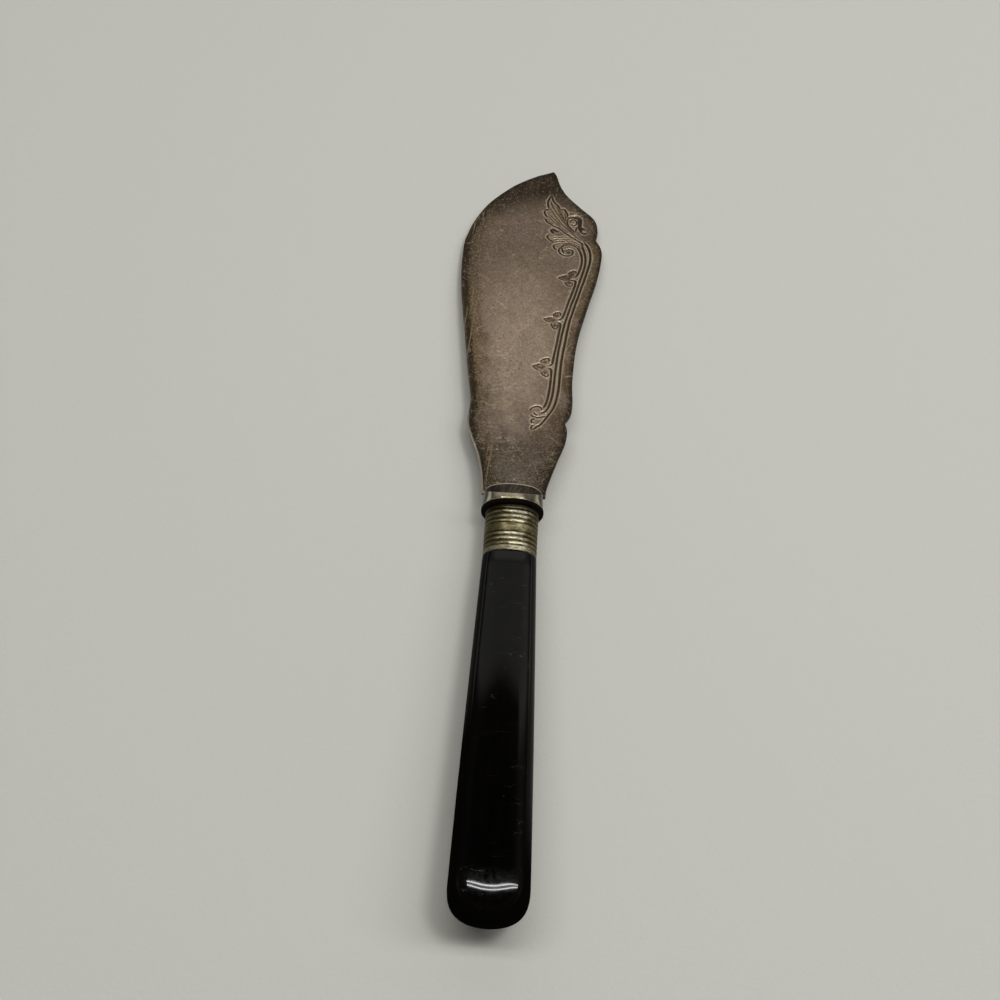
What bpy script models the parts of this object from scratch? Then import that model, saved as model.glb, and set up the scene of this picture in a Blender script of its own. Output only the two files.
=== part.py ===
# Butter knife with a stamped blade, an oval bolster, a reeded ferrule and a cemented handle.
# Metres. In the knife's own frame the axis is Y with the point at +Y, X is the width and Z the thickness,
# and the heel of the blade is at Y = 0. An empty then lays the knife on its bolster and on its point.
from math import atan2, copysign, cos, pi, radians, sin

import bmesh
import bpy
from mathutils import Matrix, Vector
from mathutils.geometry import interpolate_bezier

FIT_GAP = 0.0003            # left between two pieces that meet

# Blade
BLADE_LENGTH = 0.0946       # from heel to point
EDGE_REACH = 0.0160         # from the axis to the belly of the cutting edge
SPINE_REACH = 0.0179        # from the axis to the crest of the spine
POINT_OFFSET = 0.0050       # how far the point lies on the spine's side of the axis
POINT_WIDTH = 0.0007
HEEL_LIP = 0.0002           # heel beyond the bolster, each side
BLADE_THICKNESS = 0.0014
EDGE_THICKNESS = 0.0006
BEVEL_WIDTH = 0.0024        # thinned border along the cutting edge
SPINE_THICKNESS = 0.0010
SPINE_ROUND = 0.0004        # rounded border along the spine
TONGUE_WIDTH = 0.0080
TONGUE_THICKNESS = 0.0009
TONGUE_LENGTH = 0.0016      # inside the bolster

# Bolster
BOLSTER_WIDTH = 0.0138
BOLSTER_DEPTH = 0.0129
BOLSTER_LENGTH = 0.0042
BOLSTER_TAPER = 0.0003      # front rim inside the bead, each side
BOLSTER_RIM = 0.0003        # rounding of the front rim
BEAD_WIDTH = 0.0007         # round bead along the back rim
BEAD_HEIGHT = 0.0002
SOCKET_DEPTH = 0.0036       # hole for the tang

# Ferrule
FERRULE_WIDTH = 0.0117
FERRULE_DEPTH = 0.0095
FERRULE_WALL = 0.0010
FRONT_LIP = 0.0009
REED_PITCH = 0.00118
REED_HEIGHT = 0.0003
REEDS = 3                   # in each of the two groups
PLAIN_BAND = 0.0019
BACK_LIP = 0.0012

# Handle
HANDLE_LENGTH = 0.0786      # behind the ferrule
HANDLE_FRONT_WIDTH = 0.0117
HANDLE_FRONT_DEPTH = 0.0098
BUTT_WIDTH = 0.0161
BUTT_DEPTH = 0.0126
BUTT_ROUND = 0.0074         # length of the rounded end
FRONT_ROUND = 0.0003        # broken edge at the ferrule
SPIGOT_LENGTH = 0.0075      # inside the ferrule

# Tang and cement
TANG_RADIUS = 0.0013
TANG_END_RADIUS = 0.0009
TANG_IN_HANDLE = 0.0430     # from the mouth of the spigot
CEMENT_WALL = 0.0007
CEMENT_END = 0.0040         # beyond the end of the tang

# Squareness of the oval sections: 2 is an ellipse, more is flatter
RIM_SQUARENESS = 2.5
BEAD_SQUARENESS = 2.2
FERRULE_SQUARENESS = 2.3
HANDLE_SQUARENESS = 2.9
END_SQUARENESS = 1.8        # section at the very end of the handle
BUTT_SQUARENESS = 2.6       # of the butt's rounding, from above and from the side
OVAL_SEGMENTS = 56
ROUND_SEGMENTS = 24
OUTLINE_STEPS = 6           # points on each curve of the blade's outline

# Places along the axis that two pieces share
bolster_front = -FIT_GAP
bolster_back = bolster_front - BOLSTER_LENGTH
bead_crest = bolster_back + BEAD_WIDTH / 2
ferrule_front = bolster_back - FIT_GAP
ferrule_length = FRONT_LIP + BACK_LIP + PLAIN_BAND + 2 * REEDS * REED_PITCH
ferrule_back = ferrule_front - ferrule_length
handle_front = ferrule_back - FIT_GAP
handle_back = handle_front - HANDLE_LENGTH
spigot_mouth = handle_front + SPIGOT_LENGTH
boss_back = spigot_mouth + FIT_GAP
socket_floor = boss_back + SOCKET_DEPTH
tang_front = socket_floor - FIT_GAP
tang_back = spigot_mouth - TANG_IN_HANDLE
cement_back = tang_back - FIT_GAP - CEMENT_END
bore_floor = cement_back - FIT_GAP

# Hole sizes that follow what goes into them
tang_hole = TANG_RADIUS + FIT_GAP
cement_radius = tang_hole + CEMENT_WALL
bore_radius = cement_radius + FIT_GAP
sleeve_half = Vector((FERRULE_WIDTH / 2 - FERRULE_WALL, FERRULE_DEPTH / 2 - FERRULE_WALL))
plug_half = sleeve_half - Vector((FIT_GAP, FIT_GAP))


def clear_scene():
    for thing in list(bpy.data.objects):
        bpy.data.objects.remove(thing, do_unlink=True)


def make_material(name, colour, roughness, metallic):
    material = bpy.data.materials.new(name)
    material.use_nodes = True
    shader = material.node_tree.nodes["Principled BSDF"]
    shader.inputs["Base Color"].default_value = (*colour, 1.0)
    shader.inputs["Roughness"].default_value = roughness
    shader.inputs["Metallic"].default_value = metallic
    return material


def make_object(name, bm, parent, material=None, smooth=False):
    bmesh.ops.recalc_face_normals(bm, faces=bm.faces)
    mesh = bpy.data.meshes.new(name)
    bm.to_mesh(mesh)
    bm.free()
    if smooth:
        mesh.shade_smooth()
    thing = bpy.data.objects.new(name, mesh)
    bpy.context.collection.objects.link(thing)
    thing.parent = parent
    if material:
        mesh.materials.append(material)
    return thing


def combine(thing, tool, operation):
    tool.hide_render = True
    tool.display_type = "WIRE"
    modifier = thing.modifiers.new(tool.name, "BOOLEAN")
    modifier.operation = operation
    modifier.solver = "EXACT"
    modifier.object = tool


def oval_loft(bm, sections, ring=False):
    # A unit tube with one row of points for each section, which is then drawn out to the sections.
    row = bmesh.ops.create_circle(bm, cap_ends=not ring, radius=1.0, segments=OVAL_SEGMENTS)["verts"]
    for _ in sections[1:]:
        rim = [edge for edge in bm.edges if set(edge.verts).issubset(row)]
        grown = bmesh.ops.extrude_edge_only(bm, edges=rim)["geom"]
        row = [item for item in grown if isinstance(item, bmesh.types.BMVert)]
        bmesh.ops.translate(bm, verts=row, vec=(0, 0, 1))
    if not ring:
        bmesh.ops.contextual_create(bm, geom=[edge for edge in bm.edges if edge.is_boundary])
    for vert in bm.verts:
        y, half_width, half_depth, squareness = sections[round(vert.co.z)]
        across, up = vert.co.x, vert.co.y
        vert.co.x = copysign(abs(across) ** (2 / squareness), across) * half_width
        vert.co.y = y
        vert.co.z = copysign(abs(up) ** (2 / squareness), up) * half_depth
    if ring:
        bmesh.ops.remove_doubles(bm, verts=bm.verts, dist=FIT_GAP / 1000)


def rod(bm, front, back, front_radius, back_radius):
    upright_to_axis = Matrix.Translation((0, (front + back) / 2, 0)) @ Matrix.Rotation(-pi / 2, 4, "X")
    bmesh.ops.create_cone(bm, cap_ends=True, segments=ROUND_SEGMENTS, radius1=back_radius,
                          radius2=front_radius, depth=front - back, matrix=upright_to_axis)


def box(bm, low, high):
    low, high = Vector(low), Vector(high)
    size = Matrix.Diagonal((*(high - low), 1.0))
    bmesh.ops.create_cube(bm, size=1.0, matrix=Matrix.Translation((low + high) / 2) @ size)


def outline_side(knots, corners):
    # A smooth curve through the knots, with straight handles at the corners and the ends.
    points = [Vector(knot) for knot in knots]
    last = len(points) - 1

    def heading(index, segment):
        if index in (0, last) or index in corners:
            return (points[segment + 1] - points[segment]).normalized()
        return (points[index + 1] - points[index - 1]).normalized()

    curve = []
    for segment in range(last):
        start, end = points[segment], points[segment + 1]
        third = (end - start).length / 3
        leave = start + heading(segment, segment) * third
        arrive = end - heading(segment + 1, segment) * third
        curve += interpolate_bezier(start, leave, arrive, end, OUTLINE_STEPS)[:-1]
    return curve + [points[last]]


def blade_side(side, widest, point):
    # Columns: along the length, edge, spine. In the neck the sides are shares of the flare from heel to
    # widest, and beyond it shares of the way from the point to the widest.
    neck_rows = (
        (0.000, 0.000, 0.000), (0.019, 0.006, 0.009), (0.060, 0.061, 0.102), (0.108, 0.182, 0.231),
        (0.150, 0.354, 0.352), (0.184, 0.470, 0.387), (0.208, 0.501, 0.330), (0.234, 0.467, 0.449),
        (0.266, 0.459, 0.474), (0.330, 0.564, 0.452), (0.446, 0.735, 0.520), (0.557, 0.901, 0.718),
        (0.647, 0.989, 0.907),
    )
    point_rows = (
        (0.725, 0.993, 1.000), (0.754, 0.981, 0.970), (0.777, 0.952, 0.873), (0.807, 0.911, 0.903),
        (0.845, 0.832, 0.837), (0.884, 0.722, 0.548), (0.919, 0.580, 0.294), (0.949, 0.434, 0.151),
        (0.972, 0.281, 0.087), (0.989, 0.144, 0.048), (1.000, 0.000, 0.000),
    )
    column = {"edge": 1, "spine": 2}[side]
    corner_shares = {"edge": (0.208,), "spine": (0.208, 0.777)}[side]
    heel = BOLSTER_WIDTH / 2 + HEEL_LIP
    knots = [(row[0] * BLADE_LENGTH, heel + row[column] * (widest - heel)) for row in neck_rows]
    knots += [(row[0] * BLADE_LENGTH, point + row[column] * (widest - point)) for row in point_rows]
    rows = neck_rows + point_rows
    return outline_side(knots, [index for index, row in enumerate(rows) if row[0] in corner_shares])


def blade_outline():
    edge = blade_side("edge", EDGE_REACH, POINT_WIDTH / 2 - POINT_OFFSET)
    spine = blade_side("spine", SPINE_REACH, POINT_WIDTH / 2 + POINT_OFFSET)
    return edge, spine


def make_blade(parent):
    edge_side, spine_side = blade_outline()
    bevel_shares = (0.0, 0.25, 0.55, 1.0)
    round_shares = (1.0, 0.4, 0.0)
    columns = len(bevel_shares) + len(round_shares)
    rows = len(edge_side)
    bm = bmesh.new()
    grid = bmesh.ops.create_grid(bm, x_segments=columns - 1, y_segments=rows - 1, size=1.0)
    fullness = {}
    for vert in grid["verts"]:
        column = round((vert.co.x + 1) / 2 * (columns - 1))
        row = round((vert.co.y + 1) / 2 * (rows - 1))
        edge = Vector((-edge_side[row].y, edge_side[row].x, 0))
        spine = Vector((spine_side[row].y, spine_side[row].x, 0))
        width = (spine - edge).length
        if column < len(bevel_shares):
            share = bevel_shares[column]
            vert.co = edge.lerp(spine, share * min(BEVEL_WIDTH / width, 0.4))
            thickness = EDGE_THICKNESS + (BLADE_THICKNESS - EDGE_THICKNESS) * sin(pi / 2 * share)
        else:
            share = round_shares[column - len(bevel_shares)]
            vert.co = spine.lerp(edge, share * min(SPINE_ROUND / width, 0.3))
            thickness = SPINE_THICKNESS + (BLADE_THICKNESS - SPINE_THICKNESS) * sin(pi / 2 * share)
        fullness[vert.index] = thickness / BLADE_THICKNESS
    plate = make_material("tarnished_plate", (0.33, 0.28, 0.23), 0.38, 1.0)
    blade = make_object("blade", bm, parent, plate)
    group = blade.vertex_groups.new(name="fullness")
    for index, weight in fullness.items():
        group.add([index], weight, "REPLACE")
    solid = blade.modifiers.new("thickness", "SOLIDIFY")
    solid.thickness = BLADE_THICKNESS
    solid.offset = 0.0
    solid.vertex_group = group.name
    bm = bmesh.new()
    half_tongue = Vector((TONGUE_WIDTH / 2, 0, TONGUE_THICKNESS / 2))
    tongue_end = Vector((0, bolster_front - TONGUE_LENGTH, 0))
    tongue_root = Vector((0, TONGUE_LENGTH, 0))
    box(bm, tongue_end - half_tongue, tongue_root + half_tongue)
    combine(blade, make_object("blade_tongue", bm, parent), "UNION")


def make_bolster(parent):
    body_end = BOLSTER_LENGTH - BEAD_WIDTH
    groove = BEAD_HEIGHT * 1.6
    profile = [
        (0.0, BOLSTER_TAPER + BOLSTER_RIM),
        (BOLSTER_RIM * 0.3, BOLSTER_TAPER + BOLSTER_RIM * 0.3),
        (BOLSTER_RIM, BOLSTER_TAPER),
        (body_end * 0.4, BEAD_HEIGHT + (BOLSTER_TAPER - BEAD_HEIGHT) * 0.4),
        (body_end * 0.7, BEAD_HEIGHT),
        (body_end * 0.95, BEAD_HEIGHT),
    ]
    for step in range(7):
        profile.append((body_end + BEAD_WIDTH * step / 6, groove * (1 - sin(pi * step / 6))))
    half_width, half_depth = BOLSTER_WIDTH / 2, BOLSTER_DEPTH / 2
    sections = []
    for along, inset in profile:
        squareness = RIM_SQUARENESS + (BEAD_SQUARENESS - RIM_SQUARENESS) * along / BOLSTER_LENGTH
        sections.append((bolster_front - along, half_width - inset, half_depth - inset, squareness))
    sections += [(y, *plug_half, FERRULE_SQUARENESS) for y in (bolster_back, boss_back)]
    bm = bmesh.new()
    oval_loft(bm, sections)
    plate = make_material("polished_plate", (0.55, 0.52, 0.45), 0.22, 1.0)
    bolster = make_object("bolster", bm, parent, plate, smooth=True)
    bm = bmesh.new()
    slot_half = Vector((TONGUE_WIDTH / 2 + FIT_GAP, 0, TONGUE_THICKNESS / 2 + FIT_GAP))
    slot_floor = Vector((0, bolster_front - TONGUE_LENGTH - FIT_GAP, 0))
    slot_mouth = Vector((0, BOLSTER_LENGTH, 0))
    box(bm, slot_floor - slot_half, slot_mouth + slot_half)
    combine(bolster, make_object("bolster_slot", bm, parent), "DIFFERENCE")
    bm = bmesh.new()
    rod(bm, socket_floor, boss_back - SOCKET_DEPTH, tang_hole, tang_hole)
    combine(bolster, make_object("bolster_socket", bm, parent), "DIFFERENCE")


def make_ferrule(parent):
    valley = REED_PITCH * 0.06
    profile = [(0.0, 0.0), (FRONT_LIP - valley, 0.0)]
    place = FRONT_LIP
    for plain_length in (PLAIN_BAND, BACK_LIP):
        for _ in range(REEDS):
            for step in range(7):
                along = place + valley + (REED_PITCH - 2 * valley) * step / 6
                profile.append((along, REED_HEIGHT * (1 - sin(pi * step / 6))))
            place += REED_PITCH
        profile.append((place + valley, REED_HEIGHT * 0.1))
        place += plain_length
        profile.append((place - valley, REED_HEIGHT * 0.1))
    profile.append((ferrule_length, REED_HEIGHT * 0.4))
    bm = bmesh.new()
    half_width, half_depth = FERRULE_WIDTH / 2, FERRULE_DEPTH / 2
    outside = [(ferrule_front - along, half_width - inset, half_depth - inset) for along, inset in profile]
    inside = [(ferrule_back, *sleeve_half), (ferrule_front, *sleeve_half)]
    oval_loft(bm, [(*section, FERRULE_SQUARENESS) for section in outside + inside + outside[:1]], ring=True)
    nickel = make_material("nickel_silver", (0.62, 0.57, 0.44), 0.25, 1.0)
    make_object("ferrule", bm, parent, nickel, smooth=True)


def make_handle(parent):
    front_half = Vector((HANDLE_FRONT_WIDTH / 2, HANDLE_FRONT_DEPTH / 2))
    butt_half = Vector((BUTT_WIDTH / 2, BUTT_DEPTH / 2))
    butt_start = handle_back + BUTT_ROUND
    broken = front_half - Vector((FRONT_ROUND, FRONT_ROUND))
    sections = [(y, *plug_half, FERRULE_SQUARENESS) for y in (spigot_mouth, handle_front)]
    sections.append((handle_front, *broken, HANDLE_SQUARENESS))
    for step in range(7):
        share = step / 6
        y = (handle_front - FRONT_ROUND) * (1 - share) + butt_start * share
        half = front_half.lerp(butt_half, sin(pi / 2 * share) * 0.25 + share * 0.75)
        sections.append((y, *half, HANDLE_SQUARENESS))
    power = 2 / BUTT_SQUARENESS
    for step in range(1, 11):
        angle = radians(86) * step / 10
        share = sin(angle) ** power
        half = butt_half * cos(angle) ** power
        squareness = HANDLE_SQUARENESS + (END_SQUARENESS - HANDLE_SQUARENESS) * share
        sections.append((butt_start - BUTT_ROUND * share, *half, squareness))
    bm = bmesh.new()
    oval_loft(bm, sections)
    grip = make_material("black_grip", (0.012, 0.011, 0.010), 0.12, 0.0)
    handle = make_object("handle", bm, parent, grip, smooth=True)
    bm = bmesh.new()
    rod(bm, spigot_mouth + bore_radius, bore_floor, bore_radius, bore_radius)
    combine(handle, make_object("handle_bore", bm, parent), "DIFFERENCE")


def make_tang(parent):
    bm = bmesh.new()
    rod(bm, tang_front, tang_back, TANG_RADIUS, TANG_END_RADIUS)
    steel = make_material("tang_steel", (0.30, 0.29, 0.28), 0.45, 1.0)
    make_object("tang", bm, parent, steel, smooth=True)


def make_cement_bed(parent):
    bm = bmesh.new()
    rod(bm, spigot_mouth, cement_back, cement_radius, cement_radius)
    resin = make_material("resin_cement", (0.16, 0.09, 0.05), 0.6, 0.0)
    cement = make_object("cement_bed", bm, parent, resin, smooth=True)
    bm = bmesh.new()
    rod(bm, spigot_mouth + tang_hole, tang_back - FIT_GAP, tang_hole, tang_hole)
    combine(cement, make_object("cement_hole", bm, parent), "DIFFERENCE")


def lay_down(rest):
    # Tips the knife until its bolster and its point touch the ground, then centres it over the origin.
    drop = BOLSTER_DEPTH / 2 - EDGE_THICKNESS / 2
    rest.rotation_euler.x = -atan2(drop, BLADE_LENGTH - bead_crest)
    bpy.context.view_layer.update()
    graph = bpy.context.evaluated_depsgraph_get()
    corners = []
    for thing in bpy.data.objects:
        if thing.type == "MESH" and not thing.hide_render:
            mesh = thing.evaluated_get(graph).to_mesh()
            corners += [thing.matrix_world @ vert.co for vert in mesh.vertices]
    low = [min(corner[axis] for corner in corners) for axis in range(3)]
    high = [max(corner[axis] for corner in corners) for axis in range(3)]
    rest.location = (-(low[0] + high[0]) / 2, -(low[1] + high[1]) / 2, -low[2])


clear_scene()
knife = bpy.data.objects.new("knife", None)
bpy.context.collection.objects.link(knife)
make_blade(knife)
make_bolster(knife)
make_ferrule(knife)
make_handle(knife)
make_tang(knife)
make_cement_bed(knife)
lay_down(knife)
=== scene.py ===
from math import copysign, cos, pi, radians, sin

import bmesh
import bpy
from mathutils import Matrix, Vector, kdtree
from mathutils.geometry import interpolate_bezier


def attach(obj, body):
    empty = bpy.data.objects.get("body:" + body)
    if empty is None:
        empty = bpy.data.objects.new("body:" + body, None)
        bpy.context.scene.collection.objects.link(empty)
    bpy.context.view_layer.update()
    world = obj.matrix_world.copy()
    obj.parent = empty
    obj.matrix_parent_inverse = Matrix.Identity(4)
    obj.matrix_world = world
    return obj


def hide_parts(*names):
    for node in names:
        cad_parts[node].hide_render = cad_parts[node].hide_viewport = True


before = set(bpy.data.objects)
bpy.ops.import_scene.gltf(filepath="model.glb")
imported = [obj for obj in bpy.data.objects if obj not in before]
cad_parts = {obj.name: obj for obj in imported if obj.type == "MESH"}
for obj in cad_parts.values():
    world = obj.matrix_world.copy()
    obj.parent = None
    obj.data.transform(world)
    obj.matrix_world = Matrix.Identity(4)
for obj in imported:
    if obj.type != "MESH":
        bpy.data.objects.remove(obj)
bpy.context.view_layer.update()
print("frame loaded:", ", ".join(sorted(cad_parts)))

# The knife's own frame, in millimetres:
# Y runs to the point, X to the spine, Z up from the engraved face.
lie = {"tilt": radians(-3.5637), "spot": Vector((-0.9773, 0.0798, 6.5788)) * 0.001, "unit": 0.001}
toWorld = Matrix.Translation(lie["spot"]) @ Matrix.Rotation(lie["tilt"], 4, "X")
toWorld = toWorld @ Matrix.Scale(lie["unit"], 4)


class Wire:  # a shader socket that can be reckoned with
    def __init__(self, tree, socket=None):
        self.tree = tree
        self.socket = socket

    def make(self, kind, settings=(), inputs=(), out=0):
        node = self.tree.nodes.new("ShaderNode" + kind)
        for name, value in dict(settings).items():
            setattr(node, name, value)
        for name, value in dict(inputs).items():
            if isinstance(value, Wire):
                self.tree.links.new(value.socket, node.inputs[name])
            else:
                node.inputs[name].default_value = value
        return Wire(self.tree, node.outputs[out])

    def reckon(self, operation, *values):
        return self.make("Math", {"operation": operation}, enumerate(values))

    def __add__(self, other):
        return self.reckon("ADD", self, other)

    def __sub__(self, other):
        return self.reckon("SUBTRACT", self, other)

    def __rsub__(self, other):
        return self.reckon("SUBTRACT", other, self)

    def __mul__(self, other):
        return self.reckon("MULTIPLY", self, other)

    def __truediv__(self, other):
        return self.reckon("DIVIDE", self, other)

    def __pow__(self, other):
        return self.reckon("POWER", self, other)

    def __abs__(self):
        return self.reckon("ABSOLUTE", self)

    __radd__ = __add__
    __rmul__ = __mul__

    def rise(self, low, high):  # 0 below low, 1 above high, smooth between
        span = {"Value": self, "From Min": low, "From Max": high}
        return self.make("MapRange", {"interpolation_type": "SMOOTHSTEP"}, span)

    def mix(self, first, second):  # first where self is 0, second where it is 1
        return self.make("Mix", {"data_type": "RGBA"}, {0: self, 6: first, 7: second}, 2)

    def axis(self, name):
        return self.make("SeparateXYZ", {}, {"Vector": self}, name)

    def turned(self, degrees, size):  # the pattern drawn out to this size, then turned
        settings = {"Vector": self, "Rotation": (0, 0, radians(degrees)), "Scale": size}
        return self.make("Mapping", {"vector_type": "TEXTURE"}, settings)

    def noise(self, scale, detail=3.0, roughness=0.55, warp=0.0):
        settings = {"Vector": self, "Scale": scale, "Detail": detail, "Roughness": roughness}
        return self.make("TexNoise", {}, {**settings, "Distortion": warp}, "Fac")

    def dots(self, scale, size):  # round specks, 1 at their middles
        settings = {"Vector": self, "Scale": scale}
        return self.make("TexVoronoi", {}, settings, "Distance").rise(size, size * 0.4)

    def hairlines(self, degrees, length, spacing, width):  # thin scratches that fade in and out
        streak = self.turned(degrees, (length, spacing, spacing)).noise(1.0, 1.0, 0.4)
        line = abs(streak - 0.5).rise(width, 0.0)
        fade = self.turned(degrees, (length * 0.8, spacing * 3, spacing * 3)).noise(1.0, 1.0)
        return line * fade.rise(0.50, 0.64)


def startMaterial(name):
    material = bpy.data.materials.new(name)
    material.use_nodes = True
    tree = material.node_tree
    place = Wire(tree).make("TexCoord", out="Object")
    unit = (lie["unit"],) * 3
    tilt = (lie["tilt"], 0, 0)
    knife = place.make("Mapping", {"vector_type": "TEXTURE"},
                       {"Vector": place, "Location": lie["spot"], "Rotation": tilt, "Scale": unit})
    return material, knife


def plug(material, sockets):
    shader = material.node_tree.nodes["Principled BSDF"]
    for name, value in sockets.items():
        if isinstance(value, Wire):
            material.node_tree.links.new(value.socket, shader.inputs[name])
        else:
            shader.inputs[name].default_value = value


def bumped(knife, height, distance):  # distance in millimetres
    settings = {"Height": height, "Distance": distance * lie["unit"], "Strength": 1.0}
    return knife.make("Bump", {}, settings, "Normal")


def painted(knife, name):  # a value that the mesh carries at its points
    return knife.make("Attribute", {"attribute_name": name}, {}, "Fac")


def tone(red, green, blue):
    return (red, green, blue, 1.0)


def mixPaintedShade(material, knife, share, colour):  # mixes in a dark surface without reflection by this share: painted shade
    tree = material.node_tree
    shadeSurface = {"Base Color": colour, "Roughness": 0.6, "Specular IOR Level": 0.0}
    plain = knife.make("BsdfPrincipled", {}, shadeSurface)
    finish = Wire(tree, tree.nodes["Principled BSDF"].outputs[0])
    both = knife.make("MixShader", {}, {0: share, 1: finish, 2: plain})
    tree.links.new(both.socket, tree.nodes["Material Output"].inputs["Surface"])


# Blade: tarnished silver plate. The pairs of a zone are where it starts and where it is full,
# in millimetres.
blade = {
    "deep": tone(0.021, 0.015, 0.009), "dim": tone(0.062, 0.046, 0.031),
    "brown": tone(0.128, 0.092, 0.063), "rose": tone(0.215, 0.156, 0.121),
    "plum": tone(0.169, 0.127, 0.108), "pale": tone(0.345, 0.267, 0.199),
    "olive": tone(0.090, 0.063, 0.030), "gold": tone(0.205, 0.152, 0.072),
    "ash": tone(0.103, 0.087, 0.069), "honey": tone(0.122, 0.081, 0.038),
    "grime": tone(0.034, 0.025, 0.013), "wearAndSheen": tone(0.565, 0.463, 0.339),
    "scratch": tone(0.588, 0.486, 0.362), "edge": tone(0.33, 0.28, 0.23),
    "roughness": 0.37, "bump": 0.016, "wearReach": 8.0,
    "middle": (-0.5, 42.0), "middleSize": (12.5, 31.0),
    "flank": (6.0, 1.8), "honeyTop": (62, 52), "honeyFoot": (24, 34),
    "dusk": (48, 72), "duskEdge": (50, 68), "tip": (79.5, 88), "heel": (25, 6),
    "sootAt": 11, "sootFoot": (5.5, 3.0), "neck": (34, 18), "neckFoot": (16, 9),
    "rim": (1.4, 0.4), "wideRim": 0.8, "sharp": 32,
}


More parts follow.
